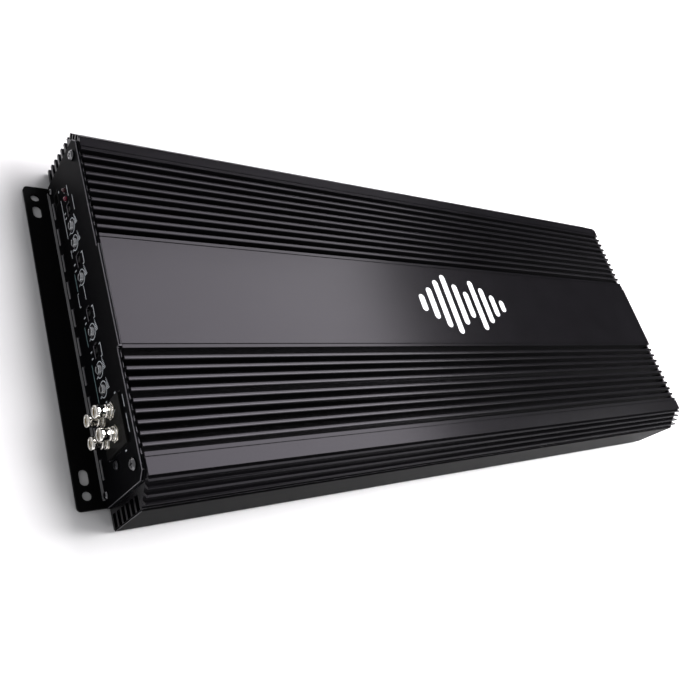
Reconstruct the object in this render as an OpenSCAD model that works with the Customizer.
// Car power amplifier: a finned heatsink extrusion, closed below by a mounting plate and at its
// ends by flat plates. Millimetres. X runs along the extrusion with the controls at -X, Y runs
// across it with the trim strip at -Y, and Z is up. The origin is the centre of the underside.

/* [Heatsink] */
// Length of the heatsink extrusion
sink_l = 610; // [590:10:700]
// Height of the top face above the underside of the mounting plate
top_z = 63.5; // [63:0.5:70]
// Distance between the centres of two top fins
fin_pitch = 6.68; // [6.5:0.02:6.7]
// Thickness of a top fin just below its rounded tip
fin_tip_t = 3; // [2.4:0.1:3.2]
// Depth of the slots between the top fins
fin_h = 11; // [10:0.5:11]
// Half of the width of the smooth pad in the middle of the top
pad_half = 39.6; // [38:0.2:40]
// Extra width of the flat strip along the front edge
front_extra = 3.8; // [3:0.1:4.5]

/* [Sheet metal] */
// Thickness of the mounting plate
plate_t = 2; // [1.6:0.1:2]
// Length of the mounting plate past each end of the heatsink
flange_l = 19; // [18:0.5:24]
// Half of the width of the mounting plate
plate_half = 116.5; // [114:0.5:117]
// Thickness of each end plate
end_t = 2; // [1.5:0.1:2]

/* [Mounting holes] */
// Distance of the mounting holes from the end of the heatsink
hole_out = 12; // [11:0.5:13]
// Half of the distance between the two round holes of one end
hole_half = 107.5; // [106:0.5:108]
// Half of the distance between the two slots of one end
slot_half = 96; // [94:0.5:97]
// Radius of the round holes and half of the width of the slots
hole_r = 3; // [2.5:0.1:3.2]
// Length of the slots from end to end
slot_l = 10.4; // [9:0.2:11]

/* [Controls] */
// Distance between two neighbouring controls
control_pitch = 13.08; // [13:0.02:13.2]
// Radius of a control knob
knob_r = 3; // [2.8:0.1:3.2]
// How far a knob stands out of the control end plate
knob_out = 1.8; // [1:0.1:3]
// Travel of a switch lever to each side of its middle position
switch_travel = 2; // [1:0.1:2]

/* [Terminals] */
// Radius of the bores for the two thick power cables
power_bore_r = 5.5; // [4:0.1:5.5]
// Radius of the bores for the speaker wires
speaker_bore_r = 2.3; // [1.8:0.1:2.4]
// Outer radius of a phono jack shell
jack_r = 4.15; // [4.1:0.01:4.2]

/* [Hidden] */
$fn = 48;

half_l = sink_l / 2;
face_x = half_l + end_t;
sides = [-1, 1];
gap = 0.05;
eps = 0.01;

// heatsink cross-section, given for the back half; the front half adds front_extra past the strip
deck_t = 4;
deck_z = top_z - fin_h - deck_t;
pad_t = 6;
web_t = 4;
fin_root_t = 3.6;
fin_round_r = 1;
fins = 9;
first_fin_y = 45.43;
ridge_in = 103.6;
groove_y = 106.1;
groove_w = 0.7;
groove_d = 0.9;
strip_out = 113.2;
chamfer_z = top_z - 4.8;
chamfer_run = 12.5;
chamfer_fins = 4;
chamfer_pitch = 3.53;
chamfer_fin_l = 5;
chamfer_fin_t = 1.5;
wall_in = 113.7;
wall_out = 117.7;
side_fins = 7;
side_fin_t = 2.4;
side_top_z = top_z - 17.3;
side_tip_top = 127.3;
side_tip_bottom = 131.8;
front_tip = 126.8;
trim_t = 1.2;
rib_in = 105.5;
rib_top_z = 11;

// vents in the end plates
vent_pitch = 20.9;
vent_l = 12;
vent_z = 7.4;

// screw places
top_screw_y = 106.5;
top_screw_z = top_z - 11;
bottom_screw_y = 110;
bottom_screw_z = 6.5;
base_screw_x = [56, 168, 280];
base_screw_y = 109.5;

// control end
control_z = 30.5;
control_0_y = 66.4;
knob_slots = [0, 1, 3, 6, 8, 9];
switch_slots = [-1, 2, 5, 7];
knob_bore_x = half_l - 15;
jack_pitch = 14;
jack_mid_y = -77.6;
jack_mid_z = 36.6;
jack_block_z = [20, 52];
jack_block_inner_z = deck_z - 0.2;
jack_block_half = 15.6;
jack_block_out = 1.5;
jack_block_in = 14;
jack_nut_t = 2.5;
jack_out = 12.1;
jack_screw_y = -99.1;
jack_screw_z = 29.3;
led_y = [95.6, 88.7];
led_z = 29.3;
socket_y = 99;
socket_z = 13.8;

// boards
board_t = 1.6;
board_z = 8.2;
board_top = board_z + board_t;
board_half = 103;
control_board_z = 18.4;
control_board_top = control_board_z + board_t;

// transistor rows along the side walls
transistors = 12;
transistor_pitch = 38;
transistor_0_x = -160;
transistor_z = 15;
bar_screws = 5;

// terminals
terminal_out = 14;
set_screw_x = half_l + 8;
power_y = [-80, -50];
remote_y = -65;
power_z = 24;
speaker_ways = 8;
speaker_pitch = 11.5;
speaker_0_y = 14;
speaker_z = 20;
remote_bore_r = 2.3;

function control_y(slot) = control_0_y - slot * control_pitch;
function front_shift(side) = side < 0 ? front_extra : 0;
function side_fin_z(i) = side_top_z - i * (side_top_z - side_fin_t - plate_t) / (side_fins - 1);
function bar_screw_x(i) = transistor_0_x + (i * 2 + 1.5) * transistor_pitch;

// ---------- shapes used by several sub-parts ----------

module block(low, high) {
    translate(low) cube(high - low);
}

module x_rod(r, x0, x1, y, z) {
    translate([x0, y, z]) rotate([0, 90, 0]) cylinder(r = r, h = x1 - x0);
}

module z_rod(r, x, y, z0, z1) {
    translate([x, y, z0]) cylinder(r = r, h = z1 - z0);
}

module y_rod(r, x, y0, y1, z) {
    translate([x, y0, z]) rotate([-90, 0, 0]) cylinder(r = r, h = y1 - y0);
}

module along_x(x0, len) {
    translate([x0, 0, 0]) rotate([90, 0, 90]) linear_extrude(len) children();
}

// a shape turned about the X axis, with its profile given as [radius, distance towards -X]
module turned_left(x0, y, z) {
    translate([x0, y, z]) rotate([0, -90, 0]) rotate_extrude() children();
}

module at_jacks() {
    for (sy = sides, sz = sides)
        translate([0, jack_mid_y + sy * jack_pitch / 2, jack_mid_z + sz * jack_pitch / 2]) children();
}

// ---------- heatsink ----------

// fin with its two tip corners rounded in facets
module top_fin(y) {
    z0 = deck_z + deck_t - eps;
    flat = fin_tip_t / 2 - fin_round_r;
    steps = [0, 30, 60, 90];
    back_corner = [for (a = steps)
        [y + flat + fin_round_r * cos(a), top_z - fin_round_r * (1 - sin(a))]];
    front_corner = [for (a = steps)
        [y - flat - fin_round_r * sin(a), top_z - fin_round_r * (1 - cos(a))]];
    polygon(concat([[y - fin_root_t / 2, z0], [y + fin_root_t / 2, z0]], back_corner, front_corner));
}

module pad_profile() {
    difference() {
        translate([0, deck_z]) square([pad_half, top_z - deck_z]);
        translate([-eps, deck_z - eps]) square([pad_half - web_t, top_z - pad_t - deck_z]);
        translate([pad_half - 2.9, top_z - groove_d]) square([groove_w, groove_d + eps]);
    }
}

module edge_profile(e) {
    difference() {
        polygon([[ridge_in, deck_z + 1], [wall_out + e - 1, deck_z + 1],
            [wall_out + e - 1, side_top_z - 1], [strip_out + e + chamfer_run, side_top_z - 1],
            [strip_out + e + chamfer_run, chamfer_z - chamfer_run], [strip_out + e, chamfer_z],
            [strip_out + e, top_z], [ridge_in, top_z]]);
        translate([groove_y, top_z - groove_d]) square([groove_w, groove_d + eps]);
    }
    for (i = [0 : chamfer_fins - 1])
        translate([strip_out + e - 0.5 + i * chamfer_pitch, chamfer_z + 0.5 - i * chamfer_pitch])
            rotate(45) translate([-0.8, -chamfer_fin_t / 2]) square([chamfer_fin_l, chamfer_fin_t]);
}

module wall_profile(e, tip_top, tip_bottom) {
    translate([wall_in + e, plate_t]) square([wall_out - wall_in, deck_z - plate_t + eps]);
    translate([rib_in, plate_t]) square([wall_in + e - rib_in + eps, rib_top_z - plate_t]);
    for (i = [0 : side_fins - 1]) {
        tip = tip_top + (tip_bottom - tip_top) * i / (side_fins - 1) + e;
        translate([wall_out + e - eps, side_fin_z(i) - side_fin_t])
            square([tip - wall_out - e, side_fin_t]);
    }
}

module half_profile(e, tip_top, tip_bottom) {
    translate([pad_half - eps, deck_z]) square([wall_out + e - pad_half, deck_t]);
    pad_profile();
    for (i = [0 : fins - 1]) top_fin(first_fin_y + i * fin_pitch);
    edge_profile(e);
    wall_profile(e, tip_top, tip_bottom);
}

module heatsink_profile() {
    half_profile(0, side_tip_top, side_tip_bottom);
    mirror([1, 0]) half_profile(front_extra, front_tip, front_tip);
}

module heatsink() {
    color([0.16, 0.15, 0.17]) difference() {
        along_x(-half_l, sink_l) heatsink_profile();
        for (sx = sides, sy = sides) {
            x_rod(1.75, sx * half_l - 20, sx * half_l + 20, sy * top_screw_y, top_screw_z);
            x_rod(1.3, sx * half_l - 14, sx * half_l + 14, sy * bottom_screw_y, bottom_screw_z);
        }
        for (sx = sides, sy = sides, x = base_screw_x)
            z_rod(1.5, sx * x, sy * base_screw_y, plate_t - 1, plate_t + 8);
        for (i = [0 : bar_screws - 1]) {
            y_rod(1.5, bar_screw_x(i), wall_in - 1, wall_in + 3, transistor_z + 7);
            y_rod(1.5, bar_screw_x(i), -wall_in - front_extra - 3, -wall_in + 1, transistor_z + 7);
        }
    }
}

module front_trim_strip() {
    y1 = -front_tip - front_extra;
    y0 = y1 - trim_t;
    color([0.13, 0.13, 0.14]) along_x(-half_l, sink_l)
        polygon([[y1, plate_t + 1.2], [y0 + 0.4, plate_t + 1.2], [y0, plate_t + 1.6],
            [y0, side_top_z - 1.5], [y0 + 0.3, side_top_z - 0.9], [y0 + 0.9, side_top_z - 0.5],
            [y1, side_top_z - 0.5]]);
}

// ---------- mounting plate and end plates ----------

module slot_cut(x, y) {
    run = slot_l / 2 - hole_r;
    for (s = sides) z_rod(hole_r, x, y + s * run, -1, plate_t + 1);
    block([x - hole_r, y - run, -1], [x + hole_r, y + run, plate_t + 1]);
}

module mounting_plate() {
    corner = 3;
    half_x = half_l + flange_l;
    color([0.04, 0.04, 0.045]) difference() {
        union() {
            block([-half_x, corner - plate_half, 0], [half_x, plate_half - corner, plate_t]);
            block([corner - half_x, -plate_half, 0], [half_x - corner, plate_half, plate_t]);
            for (sx = sides, sy = sides)
                z_rod(corner, sx * (half_x - corner), sy * (plate_half - corner), 0, plate_t);
        }
        for (sx = sides, sy = sides) {
            z_rod(hole_r, sx * (half_l + hole_out), sy * hole_half, -1, plate_t + 1);
            slot_cut(sx * (half_l + hole_out), sy * slot_half);
        }
        for (sx = sides, sy = sides, x = base_screw_x) {
            z_rod(1.6, sx * x, sy * base_screw_y, -1, plate_t + 1);
            translate([sx * x, sy * base_screw_y, -eps]) cylinder(r1 = 3, r2 = 1.6, h = 1.45);
        }
    }
}

// the plate's top edge lies below the fin tops, apart from a raised middle in front of the pad
module end_plate_outline() {
    half = 117.5;
    corner = 5;
    shoulder_z = top_z - 3;
    step_front = -38;
    step_back = 32;
    polygon([[-half, plate_t], [half, plate_t], [half, shoulder_z - corner],
        [half - corner, shoulder_z], [step_back, shoulder_z], [step_back, top_z - 0.2],
        [step_front, top_z - 0.2], [step_front, shoulder_z], [-half + corner, shoulder_z],
        [-half, shoulder_z - corner]]);
}

module end_plate_cuts(x0) {
    for (sy = sides) {
        x_rod(2.1, x0 - 3, x0 + 3, sy * top_screw_y, top_screw_z);
        x_rod(1.6, x0 - 3, x0 + 3, sy * bottom_screw_y, bottom_screw_z);
    }
}

module vent_row(x0) {
    for (i = [-5 : 4]) {
        y = (i + 0.5) * vent_pitch;
        block([x0 - 3, y - vent_l / 2, vent_z - 1], [x0 + 3, y + vent_l / 2, vent_z + 1]);
    }
}

module control_end_plate() {
    x0 = -half_l - end_t / 2;
    color([0.07, 0.07, 0.08]) difference() {
        along_x(-face_x, end_t) end_plate_outline();
        end_plate_cuts(x0);
        vent_row(x0);
        for (slot = knob_slots) x_rod(knob_r + 0.8, x0 - 3, x0 + 3, control_y(slot), control_z);
        for (slot = switch_slots)
            block([x0 - 3, control_y(slot) - 4.2, control_z - 2.7],
                [x0 + 3, control_y(slot) + 4.2, control_z + 2.7]);
        for (y = led_y) x_rod(1.8, x0 - 3, x0 + 3, y, led_z);
        block([x0 - 3, jack_mid_y - jack_block_half - 0.2, jack_block_z[0] - 0.2],
            [x0 + 3, jack_mid_y + jack_block_half + 0.2, jack_block_z[1] + 0.2]);
        x_rod(1.7, x0 - 3, x0 + 3, jack_screw_y, jack_screw_z);
        block([x0 - 3, socket_y - 5.7, socket_z - 4.2], [x0 + 3, socket_y + 5.7, socket_z + 4.2]);
    }
}

module power_end_plate() {
    x0 = half_l + end_t / 2;
    color([0.07, 0.07, 0.08]) difference() {
        along_x(half_l, end_t) end_plate_outline();
        end_plate_cuts(x0);
        vent_row(x0);
        block([x0 - 3, -97.2, board_top - 0.2], [x0 + 3, -32.8, 38.2]);
        block([x0 - 3, 4.8, board_top - 0.2], [x0 + 3, 103.2, 29.2]);
    }
}

// ---------- screws ----------

// pan head screw whose head lies on x = 0 and points to -X, with a cross recess
module pan_screw(head_r, head_h, shank_r, shank_l) {
    difference() {
        turned_left(0, 0, 0) polygon([[0, -shank_l], [shank_r, -shank_l], [shank_r, 0], [head_r, 0],
            [head_r, head_h * 0.5], [head_r * 0.75, head_h], [0, head_h]]);
        for (a = [0, 90]) rotate([a, 0, 0])
            block([-head_h - 1, -head_r * 0.55, -head_r * 0.13],
                [-head_h * 0.45, head_r * 0.55, head_r * 0.13]);
    }
}

module at_plate_corners(y, z) {
    for (sx = sides, sy = sides)
        translate([sx * face_x, sy * y, z]) mirror([sx > 0 ? 1 : 0, 0, 0]) children();
}

module end_plate_top_screws() {
    color([0.75, 0.75, 0.77]) at_plate_corners(top_screw_y, top_screw_z)
        pan_screw(3.6, 2.2, 1.7, 16);
}

module end_plate_bottom_screws() {
    color([0.75, 0.75, 0.77]) at_plate_corners(bottom_screw_y, bottom_screw_z)
        pan_screw(2.6, 1.6, 1.25, 11);
}

module jack_block_screw() {
    color([0.2, 0.2, 0.21]) translate([-face_x, jack_screw_y, jack_screw_z])
        pan_screw(2.8, 1.7, 1.25, 7);
}

module base_screws() {
    color([0.3, 0.3, 0.32]) for (sx = sides, sy = sides, x = base_screw_x)
        translate([sx * x, sy * base_screw_y, 0]) difference() {
            union() {
                cylinder(r1 = 2.9, r2 = 1.45, h = 1.5);
                cylinder(r = 1.45, h = 8);
            }
            for (a = [0, 90]) rotate([0, 0, a]) block([-1.6, -0.35, -1], [1.6, 0.35, 0.8]);
        }
}

// ---------- phono jacks ----------

module jack_housing() {
    x0 = -face_x - jack_block_out;
    x1 = -half_l + jack_block_in;
    color([0.05, 0.05, 0.05]) difference() {
        union() {
            block([x0, jack_mid_y - jack_block_half, jack_block_z[0]],
                [-half_l, jack_mid_y + jack_block_half, jack_block_z[1]]);
            block([x0, jack_mid_y - jack_block_half, jack_block_z[0]],
                [x1, jack_mid_y + jack_block_half, jack_block_inner_z]);
            block([-half_l, -103, 25], [-half_l + 4, jack_mid_y, 34]);
        }
        at_jacks() x_rod(3.65, x0 - 1, x1 + 1, 0, 0);
        x_rod(1.3, -half_l - 1, -half_l + 6, jack_screw_y, jack_screw_z);
    }
}

module jack_shells() {
    x0 = -face_x - jack_block_out;
    barrel = jack_out - 6;
    color([0.8, 0.79, 0.75]) at_jacks() turned_left(x0, 0, 0)
        polygon([[3.1, -11], [3.6, -11], [3.6, jack_nut_t], [4.5, jack_nut_t],
            [4.5, jack_nut_t + 1.4], [3.6, jack_nut_t + 1.4], [3.6, jack_out - barrel],
            [jack_r, jack_out - barrel], [jack_r, jack_out], [3.1, jack_out]]);
}

module jack_nuts() {
    x0 = -face_x - jack_block_out;
    color([0.78, 0.77, 0.73]) at_jacks() difference() {
        translate([x0, 0, 0]) rotate([0, -90, 0]) cylinder(r = 5.6, h = jack_nut_t, $fn = 6);
        x_rod(3.65, x0 - 5, x0 + 1, 0, 0);
    }
}

module jack_insulators() {
    x0 = -face_x - jack_block_out;
    color([0.9, 0.9, 0.88]) at_jacks() turned_left(x0, 0, 0)
        polygon([[2.15, -10], [3.05, -10], [3.05, jack_out - 1.6], [2.15, jack_out - 1.6]]);
}

module jack_contacts() {
    x0 = -face_x - jack_block_out;
    color([0.75, 0.65, 0.3]) at_jacks() turned_left(x0, 0, 0)
        polygon([[0, -13], [2.1, -13], [2.1, jack_out - 1.8], [1.65, jack_out - 1.8],
            [1.65, -3], [0, -3]]);
}

// ---------- knobs, switches, lamps and the remote socket ----------

// knurled shaft with a screwdriver slot, turning in its potentiometer's bushing
module knob(slot) {
    x0 = -face_x - knob_out;
    teeth = 18;
    color([0.72, 0.73, 0.74]) translate([0, control_y(slot), control_z]) difference() {
        union() {
            x_rod(knob_r, x0 + 0.5, -knob_bore_x - 0.3, 0, 0);
            translate([x0, 0, 0]) rotate([0, 90, 0]) cylinder(r1 = knob_r - 0.5, r2 = knob_r, h = 0.5);
        }
        for (i = [0 : teeth - 1]) rotate([i * 360 / teeth, 0, 0])
            translate([0, knob_r, 0]) rotate([45, 0, 0])
                block([x0 - 1, -0.18, -0.18], [-half_l, 0.18, 0.18]);
        block([x0 - 1, -knob_r - 1, -0.5], [x0 + 1.6, knob_r + 1, 0.5]);
    }
}

module knob_1() { knob(knob_slots[0]); }
module knob_2() { knob(knob_slots[1]); }
module knob_3() { knob(knob_slots[2]); }
module knob_4() { knob(knob_slots[3]); }
module knob_5() { knob(knob_slots[4]); }
module knob_6() { knob(knob_slots[5]); }

module potentiometer_bodies() {
    color([0.1, 0.2, 0.32]) for (slot = knob_slots) translate([0, control_y(slot), 0]) difference() {
        block([-half_l + 4, -4.8, control_board_top], [-half_l + 18, 4.8, control_z + 5]);
        x_rod(knob_r + gap, -half_l + 3, -knob_bore_x, 0, control_z);
    }
}

// lever whose tab shows in the end plate's window and whose foot slides in the switch body
module switch_lever(slot) {
    y = control_y(slot);
    color([0.08, 0.08, 0.08])
        block([-face_x + 0.4, y - 1.4, control_z - 1.6], [-half_l + 6, y + 1.4, control_z + 1.6]);
}

module switch_lever_1() { switch_lever(switch_slots[0]); }
module switch_lever_2() { switch_lever(switch_slots[1]); }
module switch_lever_3() { switch_lever(switch_slots[2]); }
module switch_lever_4() { switch_lever(switch_slots[3]); }

module slide_switch_bodies() {
    reach = 1.4 + switch_travel + 0.3;
    color([0.12, 0.12, 0.12]) for (slot = switch_slots) translate([0, control_y(slot), 0]) difference() {
        block([-half_l + 0.4, -6, control_board_top], [-half_l + 10, 6, control_z + 4]);
        block([-half_l, -reach, control_z - 1.9], [-half_l + 6.3, reach, control_z + 1.9]);
    }
}

module led(y) {
    x_rod(1.5, -face_x - 0.4, -half_l + 3, y, led_z);
    translate([-face_x - 0.4, y, led_z]) sphere(r = 1.5);
    x_rod(1.9, -half_l + 2, -half_l + 3.2, y, led_z);
    for (s = sides) {
        leg_y = y + s * 0.8;
        block([-half_l + 3, leg_y - 0.25, led_z - 0.25], [-half_l + 7, leg_y + 0.25, led_z + 0.25]);
        block([-half_l + 6.5, leg_y - 0.25, control_board_top], [-half_l + 7, leg_y + 0.25, led_z + 0.25]);
    }
}

module power_led() {
    color([0.25, 0.05, 0.08]) led(led_y[0]);
}

module protect_led() {
    color([0.75, 0.08, 0.25]) led(led_y[1]);
}

module remote_socket() {
    color([0.05, 0.05, 0.05]) difference() {
        block([-face_x - 0.3, socket_y - 5.5, board_top], [-half_l + 12, socket_y + 5.5, socket_z + 4]);
        block([-face_x - 1, socket_y - 3.9, board_top + 1.2], [-half_l + 9, socket_y + 3.9, socket_z + 2.2]);
    }
}

// ---------- circuit boards ----------

module main_board() {
    color([0.05, 0.28, 0.16]) difference() {
        block([13 - half_l, -board_half, board_z], [half_l - 5, board_half, board_top]);
        at_board_spacers() z_rod(1.7, 0, 0, board_z - 1, board_top + 1);
    }
}

module at_board_spacers() {
    for (x = [33 - half_l, -90, 90, half_l - 33], sy = sides) translate([x, sy * 97, 0]) children();
}

module board_spacers() {
    color([0.7, 0.65, 0.4]) at_board_spacers() difference() {
        z_rod(3.2, 0, 0, plate_t, board_z);
        z_rod(1.5, 0, 0, plate_t + 1, board_z + 1);
    }
}

module board_screws() {
    color([0.7, 0.7, 0.72]) at_board_spacers() {
        z_rod(1.45, 0, 0, plate_t + 2, board_top + 0.5);
        translate([0, 0, board_top]) cylinder(r1 = 2.8, r2 = 2.2, h = 1.6);
    }
}

module at_control_spacers() {
    for (x = [23, 53], y = [-90, 86]) translate([x - half_l, y, 0]) children();
}

module control_board() {
    color([0.05, 0.25, 0.18]) difference() {
        block([5 - half_l, -97, control_board_z], [59 - half_l, 99, control_board_top]);
        at_control_spacers() z_rod(1.6, 0, 0, control_board_z - 1, control_board_top + 1);
    }
}

module control_board_spacers() {
    color([0.85, 0.85, 0.8]) at_control_spacers() {
        z_rod(3, 0, 0, board_top, control_board_z);
        z_rod(1.5, 0, 0, control_board_z - 0.5, control_board_top + 1.5);
    }
}

module control_chips() {
    color([0.06, 0.06, 0.06]) for (i = [0 : 5])
        block([29 - half_l, -58 + i * 22, control_board_top],
            [39 - half_l, -48 + i * 22, control_board_top + 3.4]);
}

module board_connector() {
    color([0.9, 0.88, 0.8]) block([43 - half_l, -30, board_top], [49 - half_l, 30, control_board_z]);
}

module driver_board() {
    color([0.05, 0.25, 0.18]) block([-225, -0.8, board_top], [-95, 0.8, 40]);
}

// ---------- power supply ----------

module at_toroids() {
    for (x = [104, 168, 232]) translate([x, -32, board_top]) children();
}

module toroid_cores() {
    color([0.35, 0.35, 0.33]) at_toroids() rotate_extrude() translate([14, 4]) square([11, 16]);
}

module toroid_windings() {
    color([0.72, 0.38, 0.16]) at_toroids() rotate_extrude() difference() {
        polygon([[11, 3], [13, 0.2], [26, 0.2], [28, 3], [28, 21], [26, 23.8], [13, 23.8], [11, 21]]);
        translate([13.9, 3.9]) square([11.2, 16.2]);
    }
}

module can(r, h) {
    rotate_extrude() polygon([[0, 0], [r, 0], [r, h - 1], [r - 1, h], [r - 2, h],
        [r - 2, h - 0.6], [0, h - 0.6]]);
}

module reservoir_capacitors() {
    color([0.08, 0.08, 0.12]) for (x = [-36, -6, 24, 54], sy = sides)
        translate([x, sy * 15.5, board_top]) can(12.5, 45);
}

module supply_capacitors() {
    color([0.08, 0.1, 0.2]) for (i = [0 : 7])
        translate([92 + i * 22, 16, board_top]) can(9, 32);
}

module film_capacitors() {
    color([0.6, 0.1, 0.08]) for (i = [0 : 5], sy = sides)
        block([-215 + i * 21, sy * 26 - 4, board_top], [-197 + i * 21, sy * 26 + 4, board_top + 14]);
}

module output_inductors() {
    color([0.7, 0.36, 0.15]) for (x = [-110, -150], sy = sides) translate([x, sy * 62, board_top])
        rotate_extrude() polygon([[6, 2], [8, 0.2], [14, 0.2], [16, 2], [16, 14], [14, 16],
            [8, 16], [6, 14]]);
}

// ---------- transistors along the side walls ----------

// one power transistor with its back on the wall at y = wall and its legs reaching the board
module transistor(x, wall) {
    lead_y = wall - 2.6;
    block([x - 5, wall - 4.5, transistor_z], [x + 5, wall, transistor_z + 15]);
    for (i = [-1 : 1]) {
        block([x + i * 2.54 - 0.4, 101, transistor_z - 1], [x + i * 2.54 + 0.4, lead_y, transistor_z - 0.4]);
        block([x + i * 2.54 - 0.4, 101, board_top], [x + i * 2.54 + 0.4, 101.6, transistor_z - 0.4]);
        block([x + i * 2.54 - 0.4, lead_y - 0.6, transistor_z - 1],
            [x + i * 2.54 + 0.4, lead_y, transistor_z + eps]);
    }
}

module transistor_row(e) {
    for (i = [0 : transistors - 1])
        transistor(transistor_0_x + i * transistor_pitch, wall_in + e - 0.4);
}

module front_transistors() {
    color([0.08, 0.08, 0.08]) mirror([0, 1, 0]) transistor_row(front_extra);
}

module back_transistors() {
    color([0.08, 0.08, 0.08]) transistor_row(0);
}

module transistor_pads() {
    x0 = transistor_0_x - 10;
    x1 = transistor_0_x + (transistors - 1) * transistor_pitch + 10;
    color([0.75, 0.75, 0.7]) for (side = sides) mirror([0, side < 0 ? 1 : 0, 0]) {
        wall = wall_in + front_shift(side);
        difference() {
            block([x0, wall - 0.4, transistor_z - 0.2], [x1, wall, transistor_z + 16]);
            for (i = [0 : bar_screws - 1])
                y_rod(1.9, bar_screw_x(i), wall - 1, wall + 1, transistor_z + 7);
        }
    }
}

module clamp_bars() {
    x0 = transistor_0_x - 8;
    x1 = transistor_0_x + (transistors - 1) * transistor_pitch + 8;
    color([0.5, 0.5, 0.52]) for (side = sides) mirror([0, side < 0 ? 1 : 0, 0]) {
        face = wall_in + front_shift(side) - 4.9;
        difference() {
            block([x0, face - 2, transistor_z + 4], [x1, face, transistor_z + 10]);
            for (i = [0 : bar_screws - 1])
                y_rod(1.7, bar_screw_x(i), face - 3, face + 1, transistor_z + 7);
        }
    }
}

module clamp_bar_screws() {
    color([0.7, 0.7, 0.72]) for (side = sides) mirror([0, side < 0 ? 1 : 0, 0]) {
        face = wall_in + front_shift(side) - 6.9;
        for (i = [0 : bar_screws - 1]) {
            y_rod(1.45, bar_screw_x(i), face - 1, face + 9.5, transistor_z + 7);
            y_rod(2.7, bar_screw_x(i), face - 2, face, transistor_z + 7);
        }
    }
}

// ---------- terminals ----------

// set screw with a square socket, standing on z = 0
module set_screw(r, h, socket) {
    difference() {
        cylinder(r = r, h = h);
        translate([-socket / 2, -socket / 2, h - 3]) cube([socket, socket, 4]);
    }
}

module power_ways() {
    for (y = power_y) translate([0, y, power_z]) children();
}

module speaker_ways() {
    for (i = [0 : speaker_ways - 1]) translate([0, speaker_0_y + i * speaker_pitch, speaker_z]) children();
}

module power_terminal_housing() {
    x1 = face_x + terminal_out;
    color([0.06, 0.06, 0.065]) difference() {
        block([half_l - 15, -97, board_top], [x1, -33, 38]);
        power_ways() {
            block([half_l - 5.1, -7.6, -8.1], [x1 - 2, 7.6, 9.1]);
            x_rod(6, x1 - 4, x1 + 1, 0, 0);
            z_rod(4.5, set_screw_x, 0, 8, 20);
            block([half_l - 25, -5.2, -1.2], [half_l - 4, 5.2, 1.2]);
        }
        translate([0, remote_y, power_z]) {
            block([half_l - 5.1, -4.1, -4.1], [x1 - 2, 4.1, 5.1]);
            x_rod(2.8, x1 - 4, x1 + 1, 0, 0);
            z_rod(2.4, set_screw_x, 0, 4, 20);
        }
    }
}

module power_terminal_clamps() {
    x1 = face_x + terminal_out - 2;
    color([0.78, 0.68, 0.38]) {
        power_ways() difference() {
            block([half_l - 5, -7.5, -8], [x1 - 0.1, 7.5, 9]);
            x_rod(power_bore_r, half_l - 2, x1 + 1, 0, 0);
            z_rod(4.05, set_screw_x, 0, 0, 12);
        }
        translate([0, remote_y, power_z]) difference() {
            block([half_l - 5, -4, -4], [x1 - 0.1, 4, 5]);
            x_rod(remote_bore_r, half_l, x1 + 1, 0, 0);
            z_rod(2.05, set_screw_x, 0, 0, 8);
        }
    }
}

module power_terminal_screws() {
    color([0.6, 0.6, 0.62]) {
        power_ways() translate([set_screw_x, 0, power_bore_r + 0.2]) set_screw(4, 8, 3.6);
        translate([set_screw_x, remote_y, power_z + remote_bore_r + 0.2]) set_screw(2, 8, 1.8);
    }
}

module speaker_terminal_housing() {
    x1 = face_x + terminal_out;
    color([0.06, 0.06, 0.065]) difference() {
        block([half_l - 13, 5, board_top], [x1, 103, 29]);
        speaker_ways() {
            block([half_l - 2.1, -4.1, -4.1], [x1 - 2, 4.1, 5.1]);
            x_rod(2.8, x1 - 4, x1 + 1, 0, 0);
            z_rod(2.4, set_screw_x, 0, 4, 12);
        }
    }
}

module speaker_terminal_clamps() {
    x1 = face_x + terminal_out - 2;
    color([0.78, 0.68, 0.38]) speaker_ways() difference() {
        block([half_l - 2, -4, -4], [x1 - 0.1, 4, 5]);
        x_rod(speaker_bore_r, half_l, x1 + 1, 0, 0);
        z_rod(2.05, set_screw_x, 0, 0, 8);
    }
}

module speaker_terminal_screws() {
    color([0.6, 0.6, 0.62]) speaker_ways() translate([set_screw_x, 0, speaker_bore_r + 0.2])
        set_screw(2, 5.5, 1.8);
}

module power_bus_bars() {
    color([0.75, 0.42, 0.2]) power_ways() {
        block([half_l - 33, -5, -1], [half_l - 5, 5, 1]);
        block([half_l - 33, -5, board_top - power_z], [half_l - 31, 5, 1]);
    }
}

module speaker_bus_strips() {
    color([0.75, 0.42, 0.2]) speaker_ways() {
        block([half_l - 21, -1.5, board_top - speaker_z],
            [half_l - 13, 1.5, board_top - speaker_z + 1]);
        block([half_l - 14, -1.5, board_top - speaker_z], [half_l - 13, 1.5, 0]);
    }
}

heatsink();
front_trim_strip();
mounting_plate();
control_end_plate();
power_end_plate();
end_plate_top_screws();
end_plate_bottom_screws();
base_screws();
jack_block_screw();
jack_housing();
jack_shells();
jack_nuts();
jack_insulators();
jack_contacts();
knob_1();
knob_2();
knob_3();
knob_4();
knob_5();
knob_6();
potentiometer_bodies();
switch_lever_1();
switch_lever_2();
switch_lever_3();
switch_lever_4();
slide_switch_bodies();
power_led();
protect_led();
remote_socket();
control_board();
control_board_spacers();
control_chips();
board_connector();
main_board();
board_spacers();
board_screws();
driver_board();
toroid_cores();
toroid_windings();
reservoir_capacitors();
supply_capacitors();
film_capacitors();
output_inductors();
front_transistors();
back_transistors();
transistor_pads();
clamp_bars();
clamp_bar_screws();
power_terminal_housing();
power_terminal_clamps();
power_terminal_screws();
speaker_terminal_housing();
speaker_terminal_clamps();
speaker_terminal_screws();
power_bus_bars();
speaker_bus_strips();
